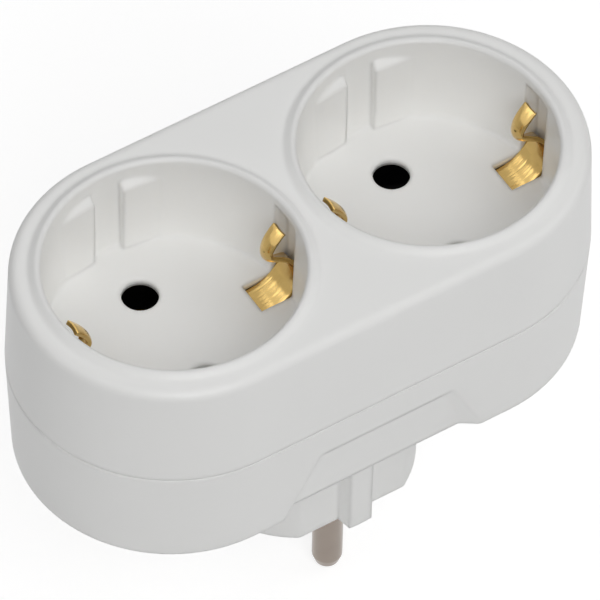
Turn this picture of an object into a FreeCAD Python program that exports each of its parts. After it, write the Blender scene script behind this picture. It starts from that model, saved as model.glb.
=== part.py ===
import FreeCAD, Part
import math
import os

# A plug-in adapter that turns one earthed wall socket into two.
# Millimetres. The origin is the centre of the plug's face, between its two pins.
# X runs along the two wells, Y along each pair of pins, and +Z points out of the wells.

# Pins of the plug, and of every plug that the wells take
PIN_DIAMETER = 4.8
PIN_LENGTH = 19.0
PIN_PITCH = 19.0
PIN_TIP_LENGTH = 2.2
PIN_NECK_DIAMETER = 5.2
PIN_SHANK_DIAMETER = 6.0
PIN_SPIGOT_DIAMETER = 3.4
PIN_HEAD_DIAMETER = 5.2
PIN_HEAD_HEIGHT = 0.9

# Wells
WELL_FLOOR_RADIUS = 19.5
WELL_DRAFT = 0.35
WELL_DEPTH = 17.4
WELL_WALL = 1.5
WELL_FLOOR = 1.3
WELL_FLOOR_ROUND = 0.5
WELL_WEB = 1.2
RIM_ROUND = 0.35
RIM_CREST = 0.45
RIM_SLOPE = 1.1
RIM_RISE = 0.8
HOLE_PLAY = 0.5
HOLE_CHAMFER = 0.25

# Guide ribs in the wells, two on each side with a groove between them
GUIDE_DEPTH = 1.2
GUIDE_GAP = 5.0
GUIDE_WIDTH = 7.4
GUIDE_SLANT = 6.0
GUIDE_DROP = 1.7
GUIDE_SLOPE = 1.3
GUIDE_ROUND = 0.4

# Earth springs and the pockets that they stand in
SPRING_THICKNESS = 0.8
SPRING_WIDTH = 5.2
SPRING_TIP_WIDTH = 2.8
SPRING_BEND = 2.0
SPRING_SIDE_PLAY = 0.25
SPRING_BACK_PLAY = 0.3
SPRING_BACK = 1.3
SPRING_BUMP = 3.8
SPRING_BUMP_HEIGHT = 8.0
SPRING_ROOT_HEIGHT = 1.7
SPRING_KNEE_BACK = 0.5
SPRING_KNEE_HEIGHT = 10.6
SPRING_TIP_BACK = 2.6
SPRING_TIP_HEIGHT = 13.5
SPRING_SHOULDER = 2.6
SPRING_LEAN = 0.9
SPRING_LIFT = 0.3
POCKET_HEIGHT = 15.6
POCKET_WALL = 1.2
FLOOR_SLOT_LENGTH = 5.6

# Housing, cover above and base below the parting line
RIM_LAND = 4.4
END_STRETCH = 0.4
COVER_HEIGHT = 19.5
COVER_FLARE = 0.75
COVER_TOP = 2.0
BASE_HEIGHT = 19.3
BASE_TAPER = 0.8
BASE_FLOOR = 2.0
SIDE_WALL = 1.8
TOP_ROUND = 1.5
BOTTOM_BEVEL = 0.4
PARTING_BEVEL = 0.2
LIP_HEIGHT = 1.2
LIP_WALL = 0.9
LIP_ROOT = 2.4
LIP_PLAY = 0.15

# Finger grips in the long sides of the base
GRIP_HALF_LENGTH = 14.9
GRIP_TOP_HALF_LENGTH = 10.2
GRIP_HEIGHT = 12.8
GRIP_DEPTH_LOW = 2.1
GRIP_DEPTH_HIGH = 1.1
GRIP_SPLAY = 1.5
GRIP_ROUND = 1.2

# Plug body
PLUG_HEIGHT = 19.2
PLUG_PLAY = 0.9
PLUG_FLAT_DEPTH = 2.6
PLUG_RIB_WIDTH = 4.0
PLUG_RIB_FLARE = 0.5
PLUG_WALL = 2.4
PLUG_FACE = 3.0
PLUG_BEVEL = 0.4
PLUG_EDGE_ROUND = 1.6
TOWER_WALL = 1.9
SHANK_PLAY = 0.1

# Current-carrying strips
BAR_THICKNESS = 1.0
BAR_WIDTH = 6.0
SLEEVE_WALL = 0.7
SLEEVE_GRIP = 0.1
SLEEVE_DROP = 6.0
SLEEVE_LIFT = 2.5
SLEEVE_SLIT = 1.0
FOOT_WIDTH = 4.6
FOOT_REACH = 7.0
FOOT_BEND = 0.8
FOOT_LAP = 3.0
RING_WALL = 0.5
RING_HEIGHT = 3.0
RING_DROP = 1.5
RING_GAP = 1.8
RING_PLAY = 0.05
CRADLE_WALL = 1.2
CRADLE_DROP = 0.5
CRADLE_PLAY = 0.2

# Earth clip of the plug
CLIP_THICKNESS = 1.0
CLIP_WIDTH = 6.0
CLIP_INSET = 1.6
CLIP_BOW = 0.6
CLIP_BOW_HEIGHT = 9.0
CLIP_BEND = 1.3
CLIP_HOOK = 2.2
CLIP_HOOK_HEIGHT = 1.7
CLIP_PLAY = 0.2

# Rivets, stakes and screws
RIVET_DIAMETER = 2.6
RIVET_HEAD_DIAMETER = 4.6
RIVET_HEAD_HEIGHT = 0.8
STAKE_WIDTH = 1.8
STAKE_HEAD_WIDTH = 3.2
STAKE_HEAD_HEIGHT = 0.7
STAKE_PITCH = 8.0
SCREW_DIAMETER = 2.9
SCREW_LENGTH = 13.0
SCREW_HEAD_DIAMETER = 5.6
SCREW_HEAD_HEIGHT = 2.0
SCREW_OFFSET = 13.5
SCREW_SINK = 2.2
SCREW_PLAY = 0.1
SCREW_CROSS = 3.0
SCREW_CROSS_WIDTH = 0.7
SCREW_CROSS_DEPTH = 1.0
SCREW_SEAT = 1.4
BOSS_WALL = 1.3

# Sizes and heights that follow from the ones above
PIN_R = PIN_DIAMETER / 2
PIN_Y = PIN_PITCH / 2
HOLE_R = PIN_R + HOLE_PLAY
RIM_R = WELL_FLOOR_RADIUS + WELL_DRAFT
BODY_LOW = PLUG_HEIGHT
PARTING = BODY_LOW + BASE_HEIGHT
TOP = PARTING + COVER_HEIGHT
CREST = TOP + RIM_RISE
FLOOR = CREST - WELL_DEPTH
FLOOR_UNDER = FLOOR - WELL_FLOOR
SPRING_FACE = WELL_FLOOR_RADIUS + SPRING_BACK
POCKET_BACK = SPRING_FACE + SPRING_THICKNESS + SPRING_BACK_PLAY
POCKET_HALF = SPRING_WIDTH / 2 + SPRING_SIDE_PLAY
WELL_X = POCKET_BACK + WELL_WEB / 2
TOP_R = RIM_R + RIM_LAND
PARTING_R = TOP_R + COVER_FLARE
BOTTOM_R = PARTING_R - BASE_TAPER
END_X = WELL_X + END_STRETCH
PLUG_R = WELL_FLOOR_RADIUS - PLUG_PLAY
PLUG_FLAT_Y = PLUG_R - PLUG_FLAT_DEPTH
BASE_SEAT = BODY_LOW + BASE_FLOOR
BAR_TOP = BASE_SEAT + BAR_THICKNESS
SLEEVE_BORE_R = PIN_R - SLEEVE_GRIP
SLEEVE_R = SLEEVE_BORE_R + SLEEVE_WALL
SLEEVE_TOP = FLOOR_UNDER - SLEEVE_DROP
SLEEVE_LOW = BAR_TOP + SLEEVE_LIFT
RING_HIGH = SLEEVE_TOP - RING_DROP
RING_LOW = RING_HIGH - RING_HEIGHT
FOOT_MID = SLEEVE_BORE_R + SLEEVE_WALL / 2
CLIP_X = PLUG_R - CLIP_INSET
STRIP_UNDER = FLOOR_UNDER - SPRING_THICKNESS
CLIP_UNDER = STRIP_UNDER - CLIP_THICKNESS
SCREW_HEAD_SEAT = BODY_LOW + SCREW_SINK + SCREW_HEAD_HEIGHT
BOSS_MEET = SCREW_HEAD_SEAT + SCREW_SEAT
BOSS_R = SCREW_DIAMETER / 2 + SCREW_PLAY + BOSS_WALL
SINK_R = SCREW_HEAD_DIAMETER / 2 + 2 * SCREW_PLAY
OVER = 1.0

V = FreeCAD.Vector
SIDES = (-1, 1)
SIDE_NAMES = {-1: "left", 1: "right"}
POLE_NAMES = {-1: "live", 1: "neutral"}


def rod(radius, low, high, x=0.0, y=0.0):
    """Upright cylinder."""
    return Part.makeCylinder(radius, high - low, V(x, y, low))


def block(x_low, x_high, y_low, y_high, z_low, z_high):
    """Box between two corners."""
    corner = V(x_low, y_low, z_low)
    return Part.makeBox(x_high - x_low, y_high - y_low, z_high - z_low, corner)


def turned(points, x=0.0, y=0.0):
    """Solid turned about an upright axis from radius and height pairs."""
    outline = Part.makePolygon([V(r, 0, z) for r, z in points + points[:1]])
    solid = Part.Face(outline).revolve(V(0, 0, 0), V(0, 0, 1), 360)
    solid.translate(V(x, y, 0))
    return solid


def slab(low_radius, high_radius, low, high):
    """Long round-ended block with drafted sides: two cones and the straight part between them."""
    ends = [Part.makeCone(low_radius, high_radius, high - low, V(side * END_X, 0, low)) for side in SIDES]
    corners = [(-low_radius, low), (low_radius, low), (high_radius, high), (-high_radius, high)]
    section = Part.makePolygon([V(-END_X, y, z) for y, z in corners + corners[:1]])
    middle = Part.Face(section).extrude(V(2 * END_X, 0, 0))
    return middle.fuse(ends).removeSplitter()


def edges_where(shape, test):
    """Edges whose every sampled point passes a test."""
    picked = []
    for edge in shape.Edges:
        first, last = edge.ParameterRange
        samples = [edge.valueAt(first + share * (last - first)) for share in (0.0, 0.37, 0.71, 1.0)]
        if all(test(point) for point in samples):
            picked.append(edge)
    return picked


def at_height(shape, z):
    """Edges that lie at one height."""
    return edges_where(shape, lambda p: abs(p.z - z) < 1e-4)


def strip(path, bend, thickness, width, y=0.0):
    """Sheet-metal strip: straight runs in the XZ plane, with round bends, given thickness and width."""
    sides = [offset_run(path, bend, thickness, hand) for hand in (1, -1)]
    ends = [(sides[0][-1].Vertexes[-1].Point, sides[1][-1].Vertexes[-1].Point),
            (sides[1][0].Vertexes[0].Point, sides[0][0].Vertexes[0].Point)]
    caps = [Part.LineSegment(start, end).toShape() for start, end in ends]
    wire = Part.Wire(Part.sortEdges(sides[0] + sides[1] + caps)[0])
    solid = Part.Face(wire).extrude(V(0, width, 0))
    solid.translate(V(0, y - width / 2, 0))
    return solid


def offset_run(path, bend, thickness, hand):
    """One face of a strip: the path moved sideways by half the thickness, its corners rounded."""
    points = [V(x, 0, z) for x, z in path]
    steps = [(b - a).normalize() for a, b in zip(points, points[1:])]
    normals = [V(-step.z, 0, step.x) * hand for step in steps]
    half = thickness / 2
    corners = [points[0] + normals[0] * half]
    for point, before, after in zip(points[1:-1], normals, normals[1:]):
        corners.append(point + (before + after) * (half / (1 + before.dot(after))))
    corners.append(points[-1] + normals[-1] * half)
    edges = []
    start = corners[0]
    for corner, before, after in zip(corners[1:-1], steps, steps[1:]):
        turn = before.z * after.x - before.x * after.z
        radius = bend + half * (1 if turn * hand > 0 else -1)
        reach = radius * math.tan(before.getAngle(after) / 2)
        entry = corner - before * reach
        leave = corner + after * reach
        inward = (after - before).normalize()
        middle = corner + inward * (radius / math.cos(before.getAngle(after) / 2) - radius)
        edges.append(Part.LineSegment(start, entry).toShape())
        edges.append(Part.Arc(entry, middle, leave).toShape())
        start = leave
    edges.append(Part.LineSegment(start, corners[-1]).toShape())
    return edges


def mirrored(path):
    """A path from its left half: the same points again, mirrored, in reverse order."""
    return path + [(-x, z) for x, z in reversed(path)]


def pin_places(x):
    """Centres of the two pins of the plug or well at x."""
    return [(x, side * PIN_Y) for side in SIDES]


def screw_places():
    """Centres of the two housing screws, set diagonally, one under each well."""
    return [(side * (WELL_X + SCREW_OFFSET), side * PIN_Y) for side in SIDES]


def well_cavity(x):
    """The space of one well, with its beveled rim and its softened floor corner."""
    rim = RIM_R + RIM_ROUND
    soft = WELL_FLOOR_ROUND
    return turned([(0, FLOOR), (WELL_FLOOR_RADIUS - soft, FLOOR),
                   (WELL_FLOOR_RADIUS - soft / 4, FLOOR + soft / 4), (WELL_FLOOR_RADIUS, FLOOR + soft),
                   (RIM_R, CREST - RIM_ROUND), (rim, CREST), (rim, CREST + OVER), (0, CREST + OVER)], x)


def well_cup(x):
    """The wall, floor and raised rim of one well, still without its space."""
    crest_r = RIM_R + RIM_ROUND + RIM_CREST
    slope_r = crest_r + RIM_SLOPE
    return turned([(0, FLOOR_UNDER), (WELL_FLOOR_RADIUS + WELL_WALL, FLOOR_UNDER),
                   (RIM_R + WELL_WALL, TOP - COVER_TOP / 2), (slope_r, TOP - COVER_TOP / 2), (slope_r, TOP),
                   (crest_r, CREST), (0, CREST)], x)


def pocket_block(x, side):
    """Solid behind one earth spring, between the well's wall and what lies beyond it."""
    half = POCKET_HALF + POCKET_WALL
    reach = POCKET_BACK + POCKET_WALL
    near, far = sorted((x + side * (WELL_FLOOR_RADIUS + WELL_WALL / 2), x + side * reach))
    return block(near, far, -half, half, FLOOR_UNDER, TOP - COVER_TOP / 2)


def spring_slot(x, side):
    """Pocket in the well's wall and slot in its floor for one earth spring."""
    back = x + side * POCKET_BACK
    wall = sorted((x + side * (WELL_FLOOR_RADIUS - 2 * GUIDE_DEPTH), back))
    start = WELL_FLOOR_RADIUS - FLOOR_SLOT_LENGTH
    floor = sorted((x + side * start, back))
    pocket = block(*wall, -POCKET_HALF, POCKET_HALF, FLOOR_UNDER, FLOOR + POCKET_HEIGHT)
    opening = block(*floor, -POCKET_HALF, POCKET_HALF, FLOOR_UNDER - OVER, FLOOR + OVER)
    return pocket.fuse(opening)


def guide_rib(x, along, across):
    """One guide rib: a flat face from beside the groove back into the well's wall, with a sloping top."""
    face = WELL_FLOOR_RADIUS - GUIDE_DEPTH
    high = TOP - GUIDE_DROP
    back = RIM_R + WELL_WALL / 2
    outline = [(face, FLOOR_UNDER), (back, FLOOR_UNDER), (back, high), (face + GUIDE_DEPTH, high),
               (face, high - GUIDE_SLOPE)]
    start = GUIDE_GAP / 2
    section = Part.makePolygon([V(start - OVER, y, z) for y, z in outline + outline[:1]])
    rib = Part.Face(section).extrude(V(GUIDE_WIDTH + OVER, 0, 0))
    rib.rotate(V(start, face, 0), V(0, 0, 1), -GUIDE_SLANT)
    rib = rib.common(block(start, start + GUIDE_WIDTH, 0, back + OVER, FLOOR_UNDER, high))
    rib = rib.makeFillet(GUIDE_ROUND, edges_where(rib, lambda p: abs(p.x - start) < 1e-4
                                                  and p.y < face + GUIDE_DEPTH + GUIDE_ROUND
                                                  and p.z > FLOOR_UNDER + 1e-4
                                                  or abs(p.z - high + GUIDE_SLOPE) < 1e-4))
    rib = rib.common(Part.makeCone(WELL_FLOOR_RADIUS + WELL_WALL / 2, RIM_R + WELL_WALL / 2,
                                   TOP - FLOOR_UNDER, V(0, 0, FLOOR_UNDER)))
    if along < 0:
        rib = rib.mirror(V(0, 0, 0), V(1, 0, 0))
    if across < 0:
        rib = rib.mirror(V(0, 0, 0), V(0, 1, 0))
    rib.translate(V(x, 0, 0))
    return rib


def pin_hole(x, y):
    """Round hole for a pin through a well's floor, with a small bevel at its mouth."""
    wide = HOLE_R + HOLE_CHAMFER
    low = FLOOR - HOLE_CHAMFER
    bevel = turned([(0, low), (HOLE_R, low), (wide, FLOOR), (0, FLOOR)], x, y)
    return rod(HOLE_R, FLOOR_UNDER - OVER, FLOOR, x, y).fuse(bevel)


def square_rod(width, low, high, x):
    """Upright square bar on the X axis."""
    return block(x - width / 2, x + width / 2, -width / 2, width / 2, low, high)


def stake(x):
    """Square peg through an earth strip, with its head formed over by heat."""
    peg = square_rod(STAKE_WIDTH, STRIP_UNDER, FLOOR_UNDER, x)
    return peg.fuse(square_rod(STAKE_HEAD_WIDTH, STRIP_UNDER - STAKE_HEAD_HEIGHT, STRIP_UNDER, x))


def stake_places():
    """Places of the stakes: under each well's middle and further out, clear of the plug's earth clip."""
    return [side * (WELL_X + share * STAKE_PITCH) for side in SIDES for share in (0, 1)]


def upper_housing():
    """Cover: drafted shell, two wells with rims, guide ribs and spring pockets, and screw posts."""
    outer = slab(PARTING_R, TOP_R, PARTING, TOP)
    outer = outer.makeFillet(TOP_ROUND, at_height(outer, TOP))
    outer = outer.makeChamfer(PARTING_BEVEL, at_height(outer, PARTING))
    inside_top = TOP - COVER_TOP
    inner = slab(PARTING_R - SIDE_WALL, TOP_R - SIDE_WALL, PARTING, inside_top)
    wells = [side * WELL_X for side in SIDES]
    blocks = [pocket_block(x, side).common(outer) for x in wells for side in SIDES]
    cover = outer.cut(inner).fuse([well_cup(x) for x in wells] + blocks)
    cover = cover.cut([well_cavity(x) for x in wells])
    ribs = [guide_rib(x, along, across) for x in wells for along in SIDES for across in SIDES]
    holes = [pin_hole(*place) for x in wells for place in pin_places(x)]
    posts = [rod(BOSS_R, BOSS_MEET, FLOOR_UNDER, *place) for place in screw_places()]
    stakes = [stake(x) for x in stake_places()]
    cover = cover.fuse(ribs + posts + stakes)
    pilots = [rod(SCREW_DIAMETER / 2, BOSS_MEET - OVER, SCREW_HEAD_SEAT + SCREW_LENGTH, *place)
              for place in screw_places()]
    slots = [spring_slot(x, side) for x in wells for side in SIDES]
    return cover.cut(holes + pilots + slots)


def grip_tool(side, grow):
    """Space of one finger grip: longer and deeper toward the bottom edge, with splayed ends.
    Grown by a wall, it is what the base's inside stays clear of."""
    high = BODY_LOW + GRIP_HEIGHT
    top_face = BOTTOM_R + BASE_TAPER * GRIP_HEIGHT / BASE_HEIGHT - GRIP_DEPTH_HIGH - grow
    low_face = BOTTOM_R - GRIP_DEPTH_LOW - grow
    slant = (top_face - low_face) / GRIP_HEIGHT
    narrowing = (GRIP_HALF_LENGTH - GRIP_TOP_HALF_LENGTH) / GRIP_HEIGHT
    levels = ((BODY_LOW - OVER, low_face - slant * OVER, GRIP_HALF_LENGTH + grow + narrowing * OVER),
              (high + grow, top_face + slant * grow, GRIP_TOP_HALF_LENGTH + grow - narrowing * grow))
    wires = []
    for z, face, near in levels:
        outside = PARTING_R + OVER
        far = near + GRIP_SPLAY * (outside - face)
        corners = [(-far, outside), (-near, face), (near, face), (far, outside)]
        wires.append(Part.makePolygon([V(x, side * y, z) for x, y in corners + corners[:1]]))
    return Part.makeLoft(wires, True, True)


def rounded_grip(side):
    """Finger grip with its inner upright corners rounded."""
    tool = grip_tool(side, 0.0)
    inner = edges_where(tool, lambda p: abs(p.y) < BOTTOM_R and abs(p.x) > GRIP_TOP_HALF_LENGTH - 1e-3)
    return tool.makeFillet(GRIP_ROUND, inner)


def plug_outside():
    """Round plug body with a flat on each side and a tapered rib in the middle of each flat."""
    body = rod(PLUG_R, 0, BODY_LOW + OVER)
    rib_half = PLUG_RIB_WIDTH / 2
    root_half = rib_half + PLUG_RIB_FLARE
    for side in SIDES:
        for along in SIDES:
            corners = [(root_half, PLUG_FLAT_Y), (PLUG_R, PLUG_FLAT_Y), (PLUG_R, PLUG_R + OVER),
                       (rib_half - PLUG_RIB_FLARE * OVER / PLUG_FLAT_DEPTH, PLUG_R + OVER)]
            wire = Part.makePolygon([V(along * x, side * y, -OVER) for x, y in corners + corners[:1]])
            body = body.cut(Part.Face(wire).extrude(V(0, 0, BODY_LOW + 3 * OVER)))
    corner_x = math.sqrt(PLUG_R ** 2 - PLUG_FLAT_Y ** 2)
    corners = edges_where(body, lambda p: abs(abs(p.x) - corner_x) < 1e-3
                          and abs(abs(p.y) - PLUG_FLAT_Y) < 1e-3)
    body = body.makeFillet(PLUG_EDGE_ROUND, corners)
    return body.makeChamfer(PLUG_BEVEL, at_height(body, 0))


def plug_inside():
    """Space inside the plug, up to the base's floor, less the solid round each pin and clip."""
    flat = PLUG_FLAT_Y - PLUG_WALL
    space = rod(PLUG_R - PLUG_WALL, PLUG_FACE, BASE_SEAT + OVER)
    space = space.common(block(-PLUG_R, PLUG_R, -flat, flat, 0, BASE_SEAT + 2 * OVER))
    tower_r = PIN_SHANK_DIAMETER / 2 + SHANK_PLAY + TOWER_WALL
    towers = [rod(tower_r, 0, BASE_SEAT, *place) for place in pin_places(0)]
    half = CLIP_WIDTH / 2 + CLIP_PLAY + POCKET_WALL
    reach = CLIP_X - CLIP_THICKNESS - CLIP_HOOK
    backs = [block(*sorted((side * reach, side * PLUG_R)), -half, half, 0, BASE_SEAT) for side in SIDES]
    return space.cut(towers + backs)


def clip_groove(side):
    """Groove down the plug's side for the earth clip, with its slot above and its hook's pocket below."""
    half = CLIP_WIDTH / 2 + CLIP_PLAY
    inner = CLIP_X - CLIP_THICKNESS / 2 - CLIP_PLAY
    outer = CLIP_X + CLIP_THICKNESS / 2 + CLIP_PLAY
    groove = block(*sorted((side * inner, side * (PLUG_R + OVER))), -half, half, -OVER, BODY_LOW)
    slot = block(*sorted((side * inner, side * outer)), -half, half, BODY_LOW - OVER, BASE_SEAT + OVER)
    pocket_low = CLIP_HOOK_HEIGHT - CLIP_THICKNESS / 2 - CLIP_PLAY
    pocket_high = CLIP_HOOK_HEIGHT + CLIP_THICKNESS / 2 + CLIP_PLAY
    pocket = block(*sorted((side * (CLIP_X - CLIP_HOOK - CLIP_PLAY), side * (inner + OVER))), -half, half,
                   pocket_low, pocket_high)
    return groove.fuse([slot, pocket])


def pin_seat(x, y):
    """Stepped hole for a plug pin: its neck's size through the face, its shank's size above."""
    shank = PIN_SHANK_DIAMETER / 2 + SHANK_PLAY
    neck = PIN_NECK_DIAMETER / 2 + SHANK_PLAY
    return rod(neck, -OVER, PLUG_FACE, x, y).fuse(rod(shank, PLUG_FACE, BASE_SEAT + OVER, x, y))


def screw_sink(x, y):
    """Sunk hole for a screw's head, and the clearance hole above it."""
    head = rod(SINK_R, BODY_LOW - OVER, SCREW_HEAD_SEAT, x, y)
    return head.fuse(rod(SCREW_DIAMETER / 2 + SCREW_PLAY, SCREW_HEAD_SEAT, BOSS_MEET + OVER, x, y))


def cradle(x, y, side):
    """Block on the base's floor with a half-round seat that backs one contact sleeve on its outer side."""
    bore = SLEEVE_R + CRADLE_PLAY
    reach = bore + CRADLE_WALL
    wall = block(*sorted((x, x + side * reach)), y - reach, y + reach, BODY_LOW + BASE_FLOOR / 2,
                 RING_LOW - CRADLE_DROP)
    return wall.cut(rod(bore, BASE_SEAT, PARTING, x, y))


def lip():
    """Ring round the base's inside that stands up into the cover, open where the spring pockets come down."""
    outer_r = PARTING_R - SIDE_WALL - LIP_PLAY - COVER_FLARE * LIP_HEIGHT / COVER_HEIGHT
    inner_r = outer_r - LIP_WALL
    root_r = inner_r - BASE_TAPER * LIP_ROOT / BASE_HEIGHT
    root = slab(root_r, PARTING_R - SIDE_WALL / 2, PARTING - LIP_ROOT, PARTING)
    ring = root.fuse(slab(outer_r + PARTING_BEVEL, outer_r, PARTING - OVER, PARTING + LIP_HEIGHT))
    inside = slab(inner_r - PARTING_BEVEL, inner_r, PARTING - LIP_ROOT - OVER, PARTING + LIP_HEIGHT + OVER)
    half = POCKET_HALF + POCKET_WALL + 2 * LIP_PLAY
    gap = block(-END_X - PARTING_R, END_X + PARTING_R, -half, half, PARTING, PARTING + LIP_HEIGHT + OVER)
    return ring.cut([inside, gap])


def lower_housing():
    """Base with the plug moulded on: finger grips, drafted sides, pin towers, cradles and screw bosses."""
    outer = slab(BOTTOM_R, PARTING_R, BODY_LOW, PARTING)
    outer = outer.cut([rounded_grip(side) for side in SIDES])
    rim = edges_where(outer, lambda p: abs(p.z - BODY_LOW) < 1e-4 and abs(p.x) > GRIP_HALF_LENGTH + 1)
    outer = outer.makeChamfer(BOTTOM_BEVEL, [edge for edge in rim if edge.Length > PLUG_R])
    outer = outer.makeChamfer(PARTING_BEVEL, at_height(outer, PARTING))
    outer = outer.fuse(plug_outside())
    draft = BASE_TAPER * BASE_FLOOR / BASE_HEIGHT
    inner = slab(BOTTOM_R + draft - SIDE_WALL, PARTING_R - SIDE_WALL, BASE_SEAT, PARTING)
    inner = inner.cut([grip_tool(side, SIDE_WALL) for side in SIDES])
    base = outer.cut([inner, plug_inside()])
    boss_r = SINK_R + BOSS_WALL
    bosses = [rod(boss_r, BODY_LOW + BASE_FLOOR / 2, BOSS_MEET, *place) for place in screw_places()]
    cradles = [cradle(side * WELL_X, y, side) for side in SIDES for y in (-PIN_Y, PIN_Y)]
    base = base.fuse(bosses + cradles + [lip()])
    cuts = [screw_sink(*place) for place in screw_places()]
    cuts += [pin_seat(*place) for place in pin_places(0)]
    cuts += [clip_groove(side) for side in SIDES]
    return base.cut(cuts)


def plug_pin(y):
    """Turned pin: tapered tip, neck through the plug's face, thicker shank, spigot riveted over its bar."""
    neck = PIN_NECK_DIAMETER / 2
    shank = PIN_SHANK_DIAMETER / 2
    spigot = PIN_SPIGOT_DIAMETER / 2
    head = PIN_HEAD_DIAMETER / 2
    head_top = BAR_TOP + PIN_HEAD_HEIGHT
    tip = PIN_TIP_LENGTH - PIN_LENGTH
    return turned([(0, -PIN_LENGTH), (PIN_R * 0.45, -PIN_LENGTH),
                   (PIN_R * 0.82, PIN_TIP_LENGTH * 0.35 - PIN_LENGTH), (PIN_R, tip), (PIN_R, 0),
                   (neck, 0), (neck, PLUG_FACE), (shank, PLUG_FACE), (shank, BASE_SEAT),
                   (spigot, BASE_SEAT), (spigot, BAR_TOP), (head, BAR_TOP), (spigot, head_top),
                   (0, head_top)], 0, y)


def foot_rivet_places(y):
    """Places of the two rivets that join a bar to the feet of its sleeves."""
    return [(side * (WELL_X - FOOT_MID - FOOT_REACH / 2), y) for side in SIDES]


def bus_bar(y):
    """Flat bar from one well to the other, with holes for the pin's spigot and the feet's rivets."""
    end = WELL_X - SLEEVE_R
    bar = block(-end, end, y - BAR_WIDTH / 2, y + BAR_WIDTH / 2, BASE_SEAT, BAR_TOP)
    holes = [rod(RIVET_DIAMETER / 2, 0, PARTING, *place) for place in foot_rivet_places(y)]
    return bar.cut(holes + [rod(PIN_SPIGOT_DIAMETER / 2, 0, PARTING, 0, y)])


def socket_contact(side, y):
    """Rolled sleeve with a slit, and the foot that turns off its lower end onto the bar."""
    x = side * WELL_X
    foot_z = BAR_TOP + SLEEVE_WALL / 2
    path = [(-FOOT_MID, SLEEVE_LOW + FOOT_LAP), (-FOOT_MID, foot_z), (-FOOT_MID - FOOT_REACH, foot_z)]
    foot = strip(path, FOOT_BEND, SLEEVE_WALL, FOOT_WIDTH)
    sleeve = rod(SLEEVE_R, SLEEVE_LOW, SLEEVE_TOP).fuse(foot)
    slit = block(0, SLEEVE_R + OVER, -SLEEVE_SLIT / 2, SLEEVE_SLIT / 2, SLEEVE_LOW - OVER, SLEEVE_TOP + OVER)
    sleeve = sleeve.cut([rod(SLEEVE_BORE_R, SLEEVE_LOW - OVER, SLEEVE_TOP + OVER), slit])
    if side < 0:
        sleeve = sleeve.mirror(V(0, 0, 0), V(1, 0, 0))
    sleeve.translate(V(x, y, 0))
    holes = [rod(RIVET_DIAMETER / 2, 0, PARTING, *place) for place in foot_rivet_places(y)]
    return sleeve.cut(holes)


def contact_ring(side, y):
    """Open steel ring that presses one sleeve on its pin."""
    x = side * WELL_X
    bore = SLEEVE_R + RING_PLAY
    ring = rod(bore + RING_WALL, RING_LOW, RING_HIGH, x, y).cut(rod(bore, RING_LOW, RING_HIGH, x, y))
    ends = sorted((x, x + side * 2 * bore))
    return ring.cut(block(*ends, y - RING_GAP / 2, y + RING_GAP / 2, RING_LOW - OVER, RING_HIGH + OVER))


def spring_path(lean, lift):
    """Middle line of one earth spring, from its foot under the floor over its bump to the tip."""
    half = SPRING_THICKNESS / 2
    back = SPRING_FACE + half
    bump = WELL_FLOOR_RADIUS - SPRING_BUMP - lean + half
    level = FLOOR + lift
    return [(back, FLOOR_UNDER - half), (back, FLOOR + SPRING_ROOT_HEIGHT),
            (bump, level + SPRING_BUMP_HEIGHT), (bump + SPRING_KNEE_BACK, level + SPRING_KNEE_HEIGHT),
            (bump + SPRING_TIP_BACK, level + SPRING_TIP_HEIGHT)]


def earth_bracket(side):
    """Strip under one well's floor, with a spring turned up at each end and narrowed above its shoulders.
    The spring at its left leans a little further into the well and stands higher."""
    path = [(-x, z) for x, z in reversed(spring_path(SPRING_LEAN, SPRING_LIFT))] + spring_path(0, 0)
    bracket = strip(path, SPRING_BEND, SPRING_THICKNESS, SPRING_WIDTH)
    shoulder = FLOOR + SPRING_SHOULDER
    reach = POCKET_BACK + OVER
    for across in SIDES:
        trim = sorted((across * SPRING_TIP_WIDTH / 2, across * SPRING_WIDTH))
        bracket = bracket.cut(block(-reach, reach, *trim, shoulder, TOP))
    bracket.translate(V(side * WELL_X, 0, 0))
    holes = [square_rod(STAKE_WIDTH, 0, FLOOR, x) for x in stake_places()]
    holes += [rod(RIVET_DIAMETER / 2, 0, FLOOR, *place) for place in earth_rivet_places()]
    return bracket.cut(holes)


def earth_rivet_places():
    """Places of the two rivets that join the earth brackets to the plug's earth clip."""
    return [(side * (CLIP_X - CLIP_BEND) * 2 / 3, 0) for side in SIDES]


def plug_earth_clip():
    """Strip across the housing and down both sides of the plug, bowed outward and hooked in at its ends."""
    half = CLIP_THICKNESS / 2
    left = [(-CLIP_X + CLIP_HOOK, CLIP_HOOK_HEIGHT), (-CLIP_X, CLIP_HOOK_HEIGHT),
            (-CLIP_X - CLIP_BOW, CLIP_BOW_HEIGHT), (-CLIP_X, BODY_LOW - CLIP_BEND),
            (-CLIP_X, CLIP_UNDER + half)]
    clip = strip(mirrored(left), CLIP_BEND, CLIP_THICKNESS, CLIP_WIDTH)
    return clip.cut([rod(RIVET_DIAMETER / 2, 0, FLOOR, *place) for place in earth_rivet_places()])


def rivet(x, y, low, high, head_up):
    """Rivet between two heights, flush at one end, with a tapered head at the other."""
    shank, head = RIVET_DIAMETER / 2, RIVET_HEAD_DIAMETER / 2
    flush, seat = (low, high) if head_up else (high, low)
    crown = seat + math.copysign(RIVET_HEAD_HEIGHT, seat - flush)
    return turned([(0, flush), (shank, flush), (shank, seat), (head, seat), (shank, crown), (0, crown)], x, y)


def contact_rivets():
    """Rivets through the feet of the sleeves and the bars."""
    places = [place for y in (-PIN_Y, PIN_Y) for place in foot_rivet_places(y)]
    return [rivet(x, y, BASE_SEAT, BAR_TOP + SLEEVE_WALL, True) for x, y in places]


def earth_rivets():
    """Rivets through the earth brackets and the plug's earth clip."""
    return [rivet(x, y, CLIP_UNDER, FLOOR_UNDER, False) for x, y in earth_rivet_places()]


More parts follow.
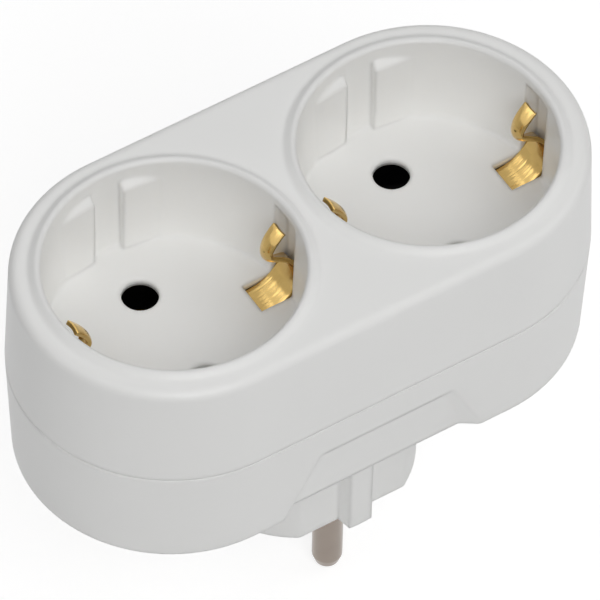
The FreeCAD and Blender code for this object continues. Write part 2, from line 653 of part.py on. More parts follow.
def housing_screw(x, y):
    """Screw from below, its head sunk into the base, with a cross recess."""
    head_low = SCREW_HEAD_SEAT - SCREW_HEAD_HEIGHT
    edge = SCREW_HEAD_DIAMETER / 2
    shank = SCREW_DIAMETER / 2
    end = SCREW_HEAD_SEAT + SCREW_LENGTH
    long, narrow = SCREW_CROSS / 2, SCREW_CROSS_WIDTH / 2
    arms = [block(x - a, x + a, y - b, y + b, head_low - OVER, head_low + SCREW_CROSS_DEPTH)
            for a, b in ((long, narrow), (narrow, long))]
    screw = turned([(0, head_low), (edge * 0.8, head_low), (edge, head_low + SCREW_HEAD_HEIGHT / 2),
                    (edge, SCREW_HEAD_SEAT), (shank, SCREW_HEAD_SEAT), (shank, end - OVER),
                    (shank / 4, end), (0, end)], x, y)
    return screw.cut(arms)


def nodes():
    """Every piece of the adapter by name."""
    pieces = {"upper_housing": upper_housing(), "lower_housing": lower_housing()}
    for pole, name in POLE_NAMES.items():
        y = pole * PIN_Y
        pieces["plug_pin_" + name] = plug_pin(y)
        pieces["bus_bar_" + name] = bus_bar(y)
        for side, place in SIDE_NAMES.items():
            pieces["socket_contact_" + place + "_" + name] = socket_contact(side, y)
            pieces["contact_ring_" + place + "_" + name] = contact_ring(side, y)
    for side, place in SIDE_NAMES.items():
        pieces["earth_bracket_" + place] = earth_bracket(side)
    pieces["plug_earth_clip"] = plug_earth_clip()
    pieces["contact_rivets"] = Part.makeCompound(contact_rivets())
    pieces["earth_rivets"] = Part.makeCompound(earth_rivets())
    pieces["housing_screws"] = Part.makeCompound([housing_screw(x, y) for x, y in screw_places()])
    return pieces


def main():
    os.makedirs("parts", exist_ok=True)
    for name, shape in nodes().items():
        shape.exportStep("parts/" + name + ".step")
        print(name, len(shape.Solids), "solids,", round(shape.Volume, 1), "mm3, valid", shape.isValid())


main()
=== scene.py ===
import math

import bmesh
import bpy
from mathutils import Matrix, Vector


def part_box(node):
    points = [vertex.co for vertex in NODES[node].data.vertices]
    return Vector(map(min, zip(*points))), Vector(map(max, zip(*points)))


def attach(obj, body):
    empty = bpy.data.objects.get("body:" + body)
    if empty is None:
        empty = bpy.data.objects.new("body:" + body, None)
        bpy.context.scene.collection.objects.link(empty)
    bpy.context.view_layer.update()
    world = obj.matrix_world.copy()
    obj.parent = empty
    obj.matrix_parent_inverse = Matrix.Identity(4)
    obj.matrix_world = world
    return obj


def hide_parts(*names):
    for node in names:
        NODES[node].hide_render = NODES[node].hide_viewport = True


bl_info = {
    "name": "Twin Socket Adapter",
    "version": (1, 0, 0),
    "blender": (4, 5, 0),
    "location": "3D View > Sidebar > Adapter",
    "description": "Dresses a plug-in adapter with two earthed wells in its finishes, and sets its studio",
    "category": "Object",
}

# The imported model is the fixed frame. Every length below is in metres.
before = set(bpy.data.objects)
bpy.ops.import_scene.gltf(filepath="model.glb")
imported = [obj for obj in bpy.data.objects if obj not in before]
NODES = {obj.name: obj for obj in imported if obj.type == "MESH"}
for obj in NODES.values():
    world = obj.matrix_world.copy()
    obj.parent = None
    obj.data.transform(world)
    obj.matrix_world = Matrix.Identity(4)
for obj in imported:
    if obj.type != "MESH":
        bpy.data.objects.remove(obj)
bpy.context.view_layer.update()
MM = 0.001

# Places read from the frame
PIN_TIP_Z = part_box("plug_pin_live")[0].z
SCREWS_LOW_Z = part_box("housing_screws")[0].z
WELL_X = (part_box("earth_bracket_right")[0].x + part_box("earth_bracket_right")[1].x) / 2
BASE_END_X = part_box("lower_housing")[1].x
BASE_SIDE_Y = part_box("lower_housing")[1].y

# The base's inside gets painted shade: its white walls are coloured nearly black for the shade deep in the
# hollow, which the photo shows black through the pin holes. The painted shade starts just under the top of
# the base's floor, and lies within the reach of the line that joins the centres of the round ends. Past the
# ends of the grips it reaches further.
INSIDE_LOW_Z = SCREWS_LOW_Z - 0.8 * MM
SPINE_END_X = BASE_END_X - BASE_SIDE_Y
INSIDE_REACH = 22.1 * MM
GRIP_END_X = 15.5 * MM
GRIP_STEP = 1.2 * MM
# Nearly black colour of the painted shade on the base's inner walls
PAINTED_SHADE_INSIDE = (0.012, 0.012, 0.012, 1)

# The plastic's uneven tone reaches this share of its colour, and its grain's bump is this strong and deep
PLASTIC_DARKEST = 0.965
GRAIN_STRENGTH = 0.04
GRAIN_DEPTH = 0.05 * MM

# An earth spring's way up from under the well's floor to its tip, in millimetres: how far out from the
# well's centre, how high, half its width, how far its middle bulges towards the plug, and how far its
# front edge is twisted up
SPRING_ROWS = (
    (9.0, 39.7, 2.6, 0.0, 0.0),
    (13.4, 39.7, 2.75, 0.0, 0.0),
    (15.2, 39.75, 2.75, 0.0, 0.0),
    (17.0, 40.1, 2.75, 0.0, 0.0),
    (18.6, 41.0, 2.75, 0.0, 0.0),
    (19.9, 42.4, 2.75, 0.0, 0.0),
    (20.6, 44.0, 2.7, 0.0, 0.0),
    (20.8, 45.3, 2.55, 0.0, 0.3),
    (20.6, 46.3, 2.25, 0.0, 0.8),
    (19.8, 47.3, 1.9, 0.1, 1.2),
    (18.5, 48.1, 1.6, 0.2, 1.4),
    (17.3, 48.9, 1.45, 0.4, 1.2),
    (16.55, 49.9, 1.4, 0.5, 0.8),
    (16.4, 51.0, 1.4, 0.5, 0.4),
    (16.9, 52.5, 1.4, 0.45, 0.1),
    (17.8, 53.8, 1.4, 0.35, 0.0),
    (18.75, 54.9, 1.4, 0.25, 0.0),
)
STRIP_THICK = 0.8 * MM
STRIP_EDGE_ROUND = 0.16 * MM
STRIP_SHARP_ANGLE = math.radians(60)
STRIP_SMOOTH_ANGLE = math.radians(50)
POINTS_ACROSS = 7
# The spring on each well's -X side leans in and stands higher, growing over a rise from this height up
LEAN_FROM_Z = 46.0
LEAN_RISE = 3.5
LEAN_IN = 0.9
LIFT = 0.3

# The plug's earth clip: how its CAD mesh is merged, and how its sharp edges are rounded
MERGE_DISTANCE = 0.002 * MM
FLAT_ANGLE = math.radians(0.5)
CLIP_EDGE_ROUND = 0.15 * MM
CLIP_SHARP_ANGLE = math.radians(35)
CLIP_SMOOTH_ANGLE = math.radians(40)

# The studio, in metres: five square lamps that face the body's middle, and a floor just under the pins
LAMP_TARGET = (0, 0, 30 * MM)
LAMPS = {
    "top": ((0.0, 0.0, 1.2), 1.0),
    "right": ((0.85, -0.25, 0.85), 0.8),
    "left": ((-0.85, 0.25, 0.85), 0.8),
    "front": ((-0.25, -0.85, 0.85), 0.8),
    "back": ((0.25, 0.85, 0.85), 0.8),
}
FLOOR_SIZE = 6.0
FLOOR_DROP = 0.2 * MM
FLOOR_PAPER = (0.82, 0.82, 0.82, 1)
FLOOR_SEEN = (0.4, 0.4, 0.4, 1)

# The photograph's camera: where it looks, from which side, how far away and how long its lens is
IMAGE_SIZE = 600
SENSOR_MM = 36.0
AIM = Vector((-1.930, -3.181, 40.0)) * MM
AZIMUTH = math.radians(-33.456)
ELEVATION = math.radians(51.239)
ROLL = math.radians(1.404)
DISTANCE = 1.2842
FOCAL_PIXELS = 8520.2
OFF_CENTRE_X = 299.9
OFF_CENTRE_Y = 299.9


def deselect():
    """Leaves nothing selected, so that an operator acts on its own piece only."""
    if bpy.context.object and bpy.context.object.mode != "OBJECT":
        bpy.ops.object.mode_set(mode="OBJECT")
    bpy.ops.object.select_all(action="DESELECT")


def new_group(name, inputs, outputs):
    """An empty shader node group with named sockets, each (name, kind, default)."""
    group = bpy.data.node_groups.new(name, "ShaderNodeTree")
    for socket_name, kind, default in inputs:
        socket = group.interface.new_socket(name=socket_name, in_out="INPUT", socket_type=kind)
        socket.default_value = default
    for socket_name, kind in outputs:
        group.interface.new_socket(name=socket_name, in_out="OUTPUT", socket_type=kind)
    return group, group.nodes.new("NodeGroupInput"), group.nodes.new("NodeGroupOutput")


def add(tree, kind, **settings):
    """A node of one kind, with its settings."""
    node = tree.nodes.new(kind)
    for key, value in settings.items():
        setattr(node, key, value)
    return node


def math_node(tree, operation, first, second=None, clamp=False):
    """A Math node fed by sockets or plain numbers; returns its output."""
    node = add(tree, "ShaderNodeMath", operation=operation, use_clamp=clamp)
    for index, value in enumerate((first, second)):
        if value is None:
            continue
        if isinstance(value, (int, float)):
            node.inputs[index].default_value = value
        else:
            tree.links.new(value, node.inputs[index])
    return node.outputs[0]


def mix_colours(tree, share, first, second):
    """A Mix node for two colours, each a socket or a plain colour; returns its output."""
    node = add(tree, "ShaderNodeMix", data_type="RGBA")
    for socket, value in ((node.inputs[0], share), (node.inputs[6], first), (node.inputs[7], second)):
        if isinstance(value, bpy.types.NodeSocket):
            tree.links.new(value, socket)
        else:
            socket.default_value = value
    return node.outputs[2]


def soft_tone_group():
    """Soft uneven tone: a colour that drifts a little over the surface."""
    group, given, made = new_group(
        "soft_tone",
        [("Vector", "NodeSocketVector", (0, 0, 0)), ("Colour", "NodeSocketColor", (0.7, 0.7, 0.7, 1)),
         ("Shade", "NodeSocketColor", (0.6, 0.6, 0.6, 1)), ("Scale", "NodeSocketFloat", 60.0),
         ("Amount", "NodeSocketFloat", 0.5)],
        [("Colour", "NodeSocketColor"), ("Mask", "NodeSocketFloat")])
    noise = add(group, "ShaderNodeTexNoise")
    noise.inputs["Detail"].default_value = 3.0
    group.links.new(given.outputs["Vector"], noise.inputs["Vector"])
    group.links.new(given.outputs["Scale"], noise.inputs["Scale"])
    share = math_node(group, "MULTIPLY", noise.outputs["Fac"], given.outputs["Amount"], clamp=True)
    colour = mix_colours(group, share, given.outputs["Colour"], given.outputs["Shade"])
    group.links.new(colour, made.inputs["Colour"])
    group.links.new(share, made.inputs["Mask"])
    return group


def moulded_grain_group():
    """Fine moulded grain: a height for a Bump node and a roughness that varies with it."""
    group, given, made = new_group(
        "moulded_grain",
        [("Vector", "NodeSocketVector", (0, 0, 0)), ("Scale", "NodeSocketFloat", 2500.0),
         ("Low Roughness", "NodeSocketFloat", 0.3), ("High Roughness", "NodeSocketFloat", 0.4)],
        [("Height", "NodeSocketFloat"), ("Roughness", "NodeSocketFloat")])
    fine = add(group, "ShaderNodeTexNoise")
    fine.inputs["Detail"].default_value = 2.0
    group.links.new(given.outputs["Vector"], fine.inputs["Vector"])
    group.links.new(given.outputs["Scale"], fine.inputs["Scale"])
    broad = add(group, "ShaderNodeTexNoise")
    broad.inputs["Scale"].default_value = 90.0
    group.links.new(given.outputs["Vector"], broad.inputs["Vector"])
    span = math_node(group, "SUBTRACT", given.outputs["High Roughness"], given.outputs["Low Roughness"])
    rough = math_node(group, "ADD", given.outputs["Low Roughness"],
                      math_node(group, "MULTIPLY", broad.outputs["Fac"], span))
    group.links.new(fine.outputs["Fac"], made.inputs["Height"])
    group.links.new(rough, made.inputs["Roughness"])
    return group


def drawn_lines_group():
    """Fine lines along one direction, as drawn or turned metal has."""
    group, given, made = new_group(
        "drawn_lines",
        [("Vector", "NodeSocketVector", (0, 0, 0)), ("Stretch", "NodeSocketVector", (1, 1, 1)),
         ("Scale", "NodeSocketFloat", 900.0), ("Low Roughness", "NodeSocketFloat", 0.15),
         ("High Roughness", "NodeSocketFloat", 0.35)],
        [("Height", "NodeSocketFloat"), ("Roughness", "NodeSocketFloat"), ("Mask", "NodeSocketFloat")])
    scaled = add(group, "ShaderNodeVectorMath", operation="MULTIPLY")
    group.links.new(given.outputs["Vector"], scaled.inputs[0])
    group.links.new(given.outputs["Stretch"], scaled.inputs[1])
    lines = add(group, "ShaderNodeTexNoise")
    lines.inputs["Detail"].default_value = 3.0
    group.links.new(scaled.outputs[0], lines.inputs["Vector"])
    group.links.new(given.outputs["Scale"], lines.inputs["Scale"])
    span = math_node(group, "SUBTRACT", given.outputs["High Roughness"], given.outputs["Low Roughness"])
    rough = math_node(group, "ADD", given.outputs["Low Roughness"],
                      math_node(group, "MULTIPLY", lines.outputs["Fac"], span))
    group.links.new(lines.outputs["Fac"], made.inputs["Height"])
    group.links.new(rough, made.inputs["Roughness"])
    group.links.new(lines.outputs["Fac"], made.inputs["Mask"])
    return group


def hollow_inside_group():
    """1 on the inner walls of the base, which get painted shade, and 0 outside, by height and by distance
    from its spine.
    """
    group, given, made = new_group(
        "hollow_inside",
        [("Vector", "NodeSocketVector", (0, 0, 0)), ("Above", "NodeSocketFloat", 0.0),
         ("Spine", "NodeSocketFloat", 0.02), ("Reach", "NodeSocketFloat", 0.02),
         ("Recess", "NodeSocketFloat", 0.01), ("Step", "NodeSocketFloat", 0.0)],
        [("Mask", "NodeSocketFloat")])
    axes = add(group, "ShaderNodeSeparateXYZ")
    group.links.new(given.outputs["Vector"], axes.inputs[0])
    along = math_node(group, "ABSOLUTE", axes.outputs["X"])
    past_spine = math_node(group, "SUBTRACT", along, given.outputs["Spine"])
    past_spine = math_node(group, "MAXIMUM", past_spine, 0.0)
    squares = math_node(group, "ADD", math_node(group, "POWER", past_spine, 2.0),
                        math_node(group, "POWER", math_node(group, "ABSOLUTE", axes.outputs["Y"]), 2.0))
    past_recess = math_node(group, "SUBTRACT", along, given.outputs["Recess"])
    past_recess = math_node(group, "MAXIMUM", past_recess, 0.0)
    step = math_node(group, "MINIMUM", past_recess, given.outputs["Step"])
    reach = math_node(group, "ADD", given.outputs["Reach"], step)
    near = math_node(group, "LESS_THAN", math_node(group, "SQRT", squares), reach)
    above = math_node(group, "GREATER_THAN", axes.outputs["Z"], given.outputs["Above"])
    group.links.new(math_node(group, "MULTIPLY", near, above), made.inputs["Mask"])
    return group


def group_node(tree, group, **values):
    """One use of a shared group, with its own values."""
    node = add(tree, "ShaderNodeGroup", node_tree=group)
    for key, value in values.items():
        socket = node.inputs[key.replace("_", " ")]
        if isinstance(value, bpy.types.NodeSocket):
            tree.links.new(value, socket)
        else:
            socket.default_value = value
    return node


def new_material(name):
    """An empty node material; returns the material, its tree and its Principled shader."""
    material = bpy.data.materials.new(name)
    material.use_nodes = True
    tree = material.node_tree
    shader = tree.nodes["Principled BSDF"]
    return material, tree, shader


def object_places(tree):
    """Object coordinates, which are places in the part's frame, in metres."""
    return add(tree, "ShaderNodeTexCoord").outputs["Object"]


def linear(shade):
    """A grey or colour written as 0 to 255 display values, as linear light."""
    return tuple(((c / 255 + 0.055) / 1.055) ** 2.4 if c > 10 else c / 3294.6 for c in shade)


def plastic(name, shade, low_rough, high_rough, soft_edge, painted_shade_inside=False):
    """White moulded plastic: even tone, satin gloss, fine grain, and edges that catch light as if round."""
    material, tree, shader = new_material(name)
    places = object_places(tree)
    colour = linear(shade)
    darker = tuple(PLASTIC_DARKEST * c for c in colour)
    tone = group_node(tree, GROUPS["soft_tone"], Vector=places, Colour=(*colour, 1), Shade=(*darker, 1),
                      Scale=45.0, Amount=0.8)
    grain = group_node(tree, GROUPS["moulded_grain"], Vector=places, Scale=2400.0,
                       Low_Roughness=low_rough, High_Roughness=high_rough)
    round_edge = add(tree, "ShaderNodeBevel", samples=6)
    round_edge.inputs["Radius"].default_value = soft_edge
    bump = add(tree, "ShaderNodeBump")
    bump.inputs["Strength"].default_value = GRAIN_STRENGTH
    bump.inputs["Distance"].default_value = GRAIN_DEPTH
    tree.links.new(grain.outputs["Height"], bump.inputs["Height"])
    tree.links.new(round_edge.outputs["Normal"], bump.inputs["Normal"])
    colour_out = tone.outputs["Colour"]
    # Painted shade: the base's inner walls are coloured nearly black for the shade deep inside the hollow
    if painted_shade_inside:
        hollow = group_node(tree, GROUPS["hollow_inside"], Vector=places, Above=INSIDE_LOW_Z,
                            Spine=SPINE_END_X, Reach=INSIDE_REACH, Recess=GRIP_END_X, Step=GRIP_STEP)
        colour_out = mix_colours(tree, hollow.outputs["Mask"], colour_out, PAINTED_SHADE_INSIDE)
    tree.links.new(colour_out, shader.inputs["Base Color"])
    tree.links.new(grain.outputs["Roughness"], shader.inputs["Roughness"])
    tree.links.new(bump.outputs["Normal"], shader.inputs["Normal"])
    shader.inputs["IOR"].default_value = 1.5
    return material


def metal(name, shade, dark_shade, low_rough, high_rough, stretch, scale, depth):
    """Drawn or turned metal: fine lines one way, a tone that drifts, and a gloss that follows the lines."""
    material, tree, shader = new_material(name)
    places = object_places(tree)
    tone = group_node(tree, GROUPS["soft_tone"], Vector=places, Colour=(*linear(shade), 1),
                      Shade=(*linear(dark_shade), 1), Scale=260.0, Amount=0.7)
    lines = group_node(tree, GROUPS["drawn_lines"], Vector=places, Stretch=stretch, Scale=scale,
                       Low_Roughness=low_rough, High_Roughness=high_rough)
    bump = add(tree, "ShaderNodeBump")
    bump.inputs["Strength"].default_value = 1.0
    bump.inputs["Distance"].default_value = depth
    tree.links.new(lines.outputs["Height"], bump.inputs["Height"])
    tree.links.new(tone.outputs["Colour"], shader.inputs["Base Color"])
    tree.links.new(lines.outputs["Roughness"], shader.inputs["Roughness"])
    tree.links.new(bump.outputs["Normal"], shader.inputs["Normal"])
    shader.inputs["Metallic"].default_value = 1.0
    return material


GROUPS = {}
FINISHES = {}


def make_finishes(settings):
    """Shared groups first, then one material for each finish."""
    GROUPS.update(soft_tone=soft_tone_group(), moulded_grain=moulded_grain_group(),
                  drawn_lines=drawn_lines_group(), hollow_inside=hollow_inside_group())
    white = tuple(255 * c for c in settings.plastic_shade)
    FINISHES.update(
        cover_plastic=plastic("cover_plastic", white, 0.34, 0.42, settings.edge_softness),
        base_plastic=plastic("base_plastic", white, 0.36, 0.44, 1.25 * settings.edge_softness,
                             painted_shade_inside=True),
        spring_brass=metal("spring_brass", (222, 190, 122), (196, 160, 92), 0.1, 0.22, (1, 12, 1), 130.0,
                           0.07 * MM),
        strip_brass=metal("strip_brass", (222, 186, 116), (196, 152, 84), 0.18, 0.32, (1, 6, 1), 500.0,
                          0.008 * MM),
        pin_nickel=metal("pin_nickel", (156, 146, 137), (138, 127, 118), 0.2, 0.3, (1, 1, 0.2), 500.0,
                         0.002 * MM),
        screw_steel=metal("screw_steel", (186, 186, 188), (160, 160, 163), 0.22, 0.36, (1, 1, 6), 700.0,
                          0.008 * MM),
        # Painted shade: the rings are coloured nearly black, darker than steel, to darken the pin holes
        ring_steel=metal("ring_steel", (34, 34, 35), (24, 24, 25), 0.4, 0.55, (1, 1, 6), 700.0,
                         0.008 * MM),
    )


def dress(node, finish):
    """Gives a CAD node one finish in all of its material slots."""
    mesh = NODES[node].data
    if not mesh.materials:
        mesh.materials.append(FINISHES[finish])
    for index in range(len(mesh.materials)):
        mesh.materials[index] = FINISHES[finish]


def spring_path(outward):
    """One spring's rows from the well's middle outwards, in metres; outward is 1 for +X and -1 for -X."""
    rows = []
    for x, z, half, bulge, twist in SPRING_ROWS:
        if outward < 0 and z > LEAN_FROM_Z:
            share = min(1.0, (z - LEAN_FROM_Z) / LEAN_RISE)
            x -= LEAN_IN * share
            z += LIFT * share
        rows.append((outward * x * MM, z * MM, half * MM, bulge * MM, twist * MM))
    return rows


def place_row(row, verts, ahead, well_x):
    """Sets one row of points across the strip, with its middle bulging square to the way ahead."""
    x, z, half, bulge, twist = row
    along = Vector((ahead[0], 0, ahead[1])).normalized()
    square = Vector((0, 1, 0)).cross(along)
    towards_plug = square if square.x * x < 0 else -square
    for index, vert in enumerate(verts):
        across = 2 * index / (len(verts) - 1) - 1
        flat = Vector((well_x + x, across * half, z - across * twist))
        vert.co = flat + (1 - across * across) * bulge * towards_plug


def earth_strip(name, node, well_x):
    """A well's earth strip: one sheet of brass drawn along its way, with both springs on its ends."""
    rows = spring_path(-1)[::-1] + spring_path(1)
    deselect()
    bpy.ops.mesh.primitive_plane_add(size=2 * rows[0][2], location=(0, 0, 0))
    piece = bpy.context.object
    piece.name = name
    bpy.ops.object.mode_set(mode="EDIT")
    bpy.ops.mesh.select_mode(type="VERT")
    sheet = bmesh.from_edit_mesh(piece.data)
    for vert in sheet.verts:
        vert.select = vert.co.x > 0
    bpy.ops.mesh.delete(type="VERT")
    bpy.ops.mesh.select_all(action="SELECT")
    bpy.ops.mesh.subdivide(number_cuts=POINTS_ACROSS - 2)
    bpy.ops.mesh.select_all(action="SELECT")
    for index, row in enumerate(rows):
        if index > 0:
            bpy.ops.mesh.extrude_edges_move()
        sheet = bmesh.from_edit_mesh(piece.data)
        verts = sorted((vert for vert in sheet.verts if vert.select), key=lambda vert: vert.co.y)
        before = rows[max(index - 1, 0)]
        after = rows[min(index + 1, len(rows) - 1)]
        place_row(row, verts, (after[0] - before[0], after[1] - before[1]), well_x)
        bmesh.update_edit_mesh(piece.data)
    bpy.ops.object.mode_set(mode="OBJECT")
    for kind, values in (
            ("SOLIDIFY", {"thickness": STRIP_THICK, "offset": 0.0, "use_even_offset": True}),
            ("BEVEL", {"width": STRIP_EDGE_ROUND, "segments": 2, "limit_method": "ANGLE",
                       "angle_limit": STRIP_SHARP_ANGLE}),
            ("SUBSURF", {"levels": 2, "render_levels": 2})):
        bpy.ops.object.modifier_add(type=kind)
        modifier = piece.modifiers[-1]
        for key, value in values.items():
            setattr(modifier, key, value)
        bpy.ops.object.modifier_apply(modifier=modifier.name)
    bpy.ops.object.mode_set(mode="EDIT")
    bpy.ops.mesh.select_all(action="SELECT")
    bpy.ops.mesh.normals_make_consistent(inside=False)
    bpy.ops.object.mode_set(mode="OBJECT")
    bpy.ops.object.shade_smooth_by_angle(angle=STRIP_SMOOTH_ANGLE)
    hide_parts(node)
    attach(piece, "root")
    return piece


def rounded_copy(node, name, width):
    """A piece with a CAD node's shape, its sharp edges rounded, which stands for that node."""
    deselect()
    piece = bpy.data.objects.new(name, NODES[node].data.copy())
    bpy.context.scene.collection.objects.link(piece)
    piece.select_set(True)
    bpy.context.view_layer.objects.active = piece
    bpy.ops.object.mode_set(mode="EDIT")
    bpy.ops.mesh.select_all(action="SELECT")
    bpy.ops.mesh.customdata_custom_splitnormals_clear()
    bpy.ops.mesh.remove_doubles(threshold=MERGE_DISTANCE)
    bpy.ops.mesh.dissolve_limited(angle_limit=FLAT_ANGLE)
    bpy.ops.object.mode_set(mode="OBJECT")
    bpy.ops.object.modifier_add(type="BEVEL")
    bevel = piece.modifiers[-1]
    bevel.width = width
    bevel.segments = 3
    bevel.limit_method = "ANGLE"
    bevel.angle_limit = CLIP_SHARP_ANGLE
    bpy.ops.object.modifier_apply(modifier=bevel.name)
    bpy.ops.object.shade_smooth_by_angle(angle=CLIP_SMOOTH_ANGLE)
    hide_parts(node)
    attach(piece, "root")
    return piece


class AdapterSettings(bpy.types.PropertyGroup):
    """What a user would change on the adapter and in its studio."""

    plastic_shade: bpy.props.FloatVectorProperty(
        name="Plastic Shade", description="Display colour of the white plastic", subtype="COLOR_GAMMA",
        size=3, min=0.0, max=1.0, default=(0.962, 0.962, 0.956))
    edge_softness: bpy.props.FloatProperty(
        name="Edge Softness", description="Radius of the moulded edges' shading", subtype="DISTANCE",
        unit="LENGTH", default=1.2 * MM, min=0.0, max=2.0 * MM)
    top_power: bpy.props.FloatProperty(
        name="Top Light", description="Power of the large soft light overhead", subtype="POWER",
        unit="POWER", default=1.4, min=0.0)
    right_power: bpy.props.FloatProperty(
        name="Right Light", description="Power of the large soft light to the right", subtype="POWER",
        unit="POWER", default=3.0, min=0.0)
    left_power: bpy.props.FloatProperty(
        name="Left Light", description="Power of the large soft light to the left", subtype="POWER",
        unit="POWER", default=1.9, min=0.0)
    front_power: bpy.props.FloatProperty(
        name="Front Light", description="Power of the large soft light in front", subtype="POWER",
        unit="POWER", default=6.9, min=0.0)
    back_power: bpy.props.FloatProperty(
        name="Back Light", description="Power of the large soft light behind", subtype="POWER",
        unit="POWER", default=1.6, min=0.0)
    sky_strength: bpy.props.FloatProperty(
        name="Studio Brightness", description="Even light from all around", default=0.05, min=0.0, max=2.0)
    floor_glow: bpy.props.FloatProperty(
        name="Floor Whiteness", description="How much white the camera adds to the lit floor", default=0.76,
        min=0.0, max=1.0)


class ADAPTER_OT_housings(bpy.types.Operator):
    """Finishes the cover and the base in white moulded plastic, with painted shade on the base's inner
    walls
    """

    bl_idname = "adapter.housings"
    bl_label = "Housings"

    def execute(self, context):
        dress("upper_housing", "cover_plastic")
        dress("lower_housing", "base_plastic")
        return {"FINISHED"}


class ADAPTER_OT_earth_strips(bpy.types.Operator):
    """Makes the earth springs and the plug's earth clip in polished brass, with rounded edges"""

    bl_idname = "adapter.earth_strips"
    bl_label = "Earth Strips"

    def execute(self, context):
        pieces = [
            earth_strip("earth_strip_left", "earth_bracket_left", -WELL_X),
            earth_strip("earth_strip_right", "earth_bracket_right", WELL_X),
            rounded_copy("plug_earth_clip", "polished_earth_clip", CLIP_EDGE_ROUND),
        ]
        for piece in pieces:
            piece.data.materials.clear()
            piece.data.materials.append(FINISHES["spring_brass"])
        return {"FINISHED"}


class ADAPTER_OT_pins(bpy.types.Operator):
    """Finishes the plug's pins in nickel"""

    bl_idname = "adapter.pins"
    bl_label = "Plug Pins"

    def execute(self, context):
        for node in ("plug_pin_live", "plug_pin_neutral"):
            dress(node, "pin_nickel")
        return {"FINISHED"}


class ADAPTER_OT_contacts(bpy.types.Operator):
    """Finishes the bars, sleeves, rings, rivets and screws"""

    bl_idname = "adapter.contacts"
    bl_label = "Contacts and Fasteners"

    def execute(self, context):
        for node in NODES:
            if node.startswith(("bus_bar", "socket_contact")) or node.endswith("rivets"):
                dress(node, "strip_brass")
            elif node.startswith("contact_ring"):
                # The rings take the nearly black painted shade
                dress(node, "ring_steel")
        dress("housing_screws", "screw_steel")
        return {"FINISHED"}


def area_light(name, place, target, size, power):
    """A square soft light that faces a point."""
    light = bpy.data.lights.new(name, "AREA")
    light.shape = "SQUARE"
    light.size = size
    light.energy = power
    lamp = bpy.data.objects.new(name, light)
    bpy.context.scene.collection.objects.link(lamp)
    lamp.location = place
    lamp.rotation_euler = (Vector(target) - Vector(place)).to_track_quat("-Z", "Y").to_euler()
    return lamp


def seen_directly(tree):
    """1 where the camera, a reflection or clear plastic looks at a surface, and 0 for bounced light."""
    path = add(tree, "ShaderNodeLightPath")
    mirrored = math_node(tree, "MAXIMUM", path.outputs["Is Glossy Ray"],
                         path.outputs["Is Transmission Ray"])
    return math_node(tree, "MAXIMUM", path.outputs["Is Camera Ray"], mirrored)


def floor_material(glow):
    """Pale floor that bounces light as white paper does, and is seen nearly white with a soft shadow."""
    material, tree, shader = new_material("studio_floor")
    seen = seen_directly(tree)
    paper = mix_colours(tree, seen, FLOOR_PAPER, FLOOR_SEEN)
    tree.links.new(paper, shader.inputs["Base Color"])
    shader.inputs["Roughness"].default_value = 0.9
    shader.inputs["Specular IOR Level"].default_value = 0.1
    shader.inputs["Emission Color"].default_value = (1, 1, 1, 1)
    tree.links.new(math_node(tree, "MULTIPLY", seen, glow), shader.inputs["Emission Strength"])
    return material


def studio_world(strength):
    """Even light from all around, and a white background where the camera or a reflection sees it."""
    world = bpy.data.worlds.new("studio")
    bpy.context.scene.world = world
    world.use_nodes = True
    tree = world.node_tree
    background = tree.nodes["Background"]
    background.inputs["Color"].default_value = (1, 1, 1, 1)
    extra = math_node(tree, "MULTIPLY", seen_directly(tree), 1.0 - strength)
    level = math_node(tree, "ADD", extra, strength)
    tree.links.new(level, background.inputs["Strength"])


class ADAPTER_OT_stage(bpy.types.Operator):
    """Makes the pale floor, the soft lights and the photograph's camera"""

    bl_idname = "adapter.stage"
    bl_label = "Stage"

    def execute(self, context):
        settings = context.scene.adapter
        deselect()
        bpy.ops.mesh.primitive_plane_add(size=FLOOR_SIZE, location=(0, 0, PIN_TIP_Z - FLOOR_DROP))
        floor = context.object
        floor.name = "studio_floor"
        floor.data.materials.append(floor_material(settings.floor_glow))
        bpy.ops.object.transform_apply(location=True, rotation=True, scale=True)
        studio_world(settings.sky_strength)
        for side, (place, size) in LAMPS.items():
            area_light(side + "_light", place, LAMP_TARGET, size, getattr(settings, side + "_power"))
        scene = context.scene
        scene.view_settings.view_transform = "Standard"
        scene.camera = photograph_camera()
        return {"FINISHED"}


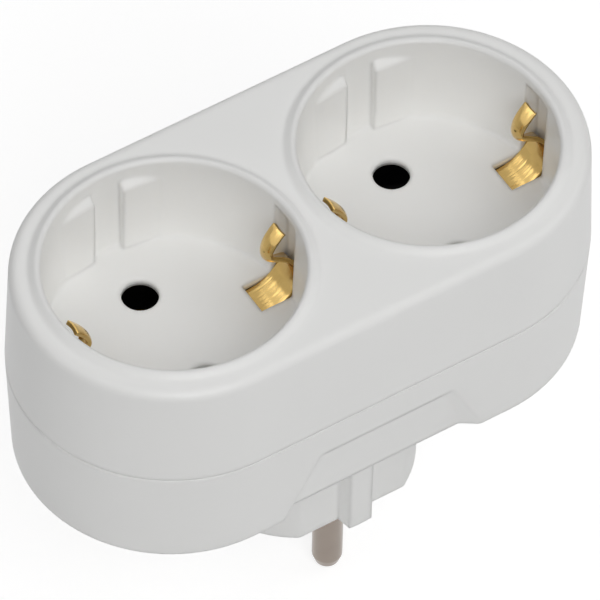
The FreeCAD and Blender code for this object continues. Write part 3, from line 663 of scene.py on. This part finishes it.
def photograph_camera():
    """The camera that took the photograph, as fitted to its rims, outlines and pin."""
    data = bpy.data.cameras.new("photograph_camera")
    data.sensor_width = SENSOR_MM
    data.lens = FOCAL_PIXELS * data.sensor_width / IMAGE_SIZE
    data.shift_x = (IMAGE_SIZE / 2 - 0.5 - OFF_CENTRE_X) / IMAGE_SIZE
    data.shift_y = (OFF_CENTRE_Y - IMAGE_SIZE / 2 + 0.5) / IMAGE_SIZE
    data.clip_start = 0.1
    data.clip_end = 20.0
    camera = bpy.data.objects.new("photograph_camera", data)
    bpy.context.scene.collection.objects.link(camera)
    back = Vector((math.sin(AZIMUTH) * math.cos(ELEVATION), -math.cos(AZIMUTH) * math.cos(ELEVATION),
                   math.sin(ELEVATION)))
    level_right = Vector((math.cos(AZIMUTH), math.sin(AZIMUTH), 0))
    level_up = back.cross(level_right)
    right = math.cos(ROLL) * level_right + math.sin(ROLL) * level_up
    up = math.cos(ROLL) * level_up - math.sin(ROLL) * level_right
    turn = Matrix((right, up, back)).transposed().to_4x4()
    camera.matrix_world = Matrix.Translation(AIM + back * DISTANCE) @ turn
    return camera


class ADAPTER_PT_sidebar(bpy.types.Panel):
    """Lists the adapter's steps and settings"""

    bl_idname = "ADAPTER_PT_sidebar"
    bl_label = "Twin Socket Adapter"
    bl_space_type = "VIEW_3D"
    bl_region_type = "UI"
    bl_category = "Adapter"

    def draw(self, context):
        for step in STEPS:
            self.layout.operator(step.bl_idname)
        for name in AdapterSettings.__annotations__:
            self.layout.prop(context.scene.adapter, name)


STEPS = (
    ADAPTER_OT_housings,
    ADAPTER_OT_earth_strips,
    ADAPTER_OT_pins,
    ADAPTER_OT_contacts,
    ADAPTER_OT_stage,
)
CLASSES = (AdapterSettings, *STEPS, ADAPTER_PT_sidebar)


def register():
    for each in CLASSES:
        bpy.utils.register_class(each)
    bpy.types.Scene.adapter = bpy.props.PointerProperty(type=AdapterSettings)


def unregister():
    del bpy.types.Scene.adapter
    for each in reversed(CLASSES):
        bpy.utils.unregister_class(each)


def main():
    """Dresses every piece and sets the stage."""
    register()
    make_finishes(bpy.context.scene.adapter)
    bpy.ops.adapter.housings()
    bpy.ops.adapter.earth_strips()
    bpy.ops.adapter.pins()
    bpy.ops.adapter.contacts()
    bpy.ops.adapter.stage()


if __name__ == "__main__":
    main()
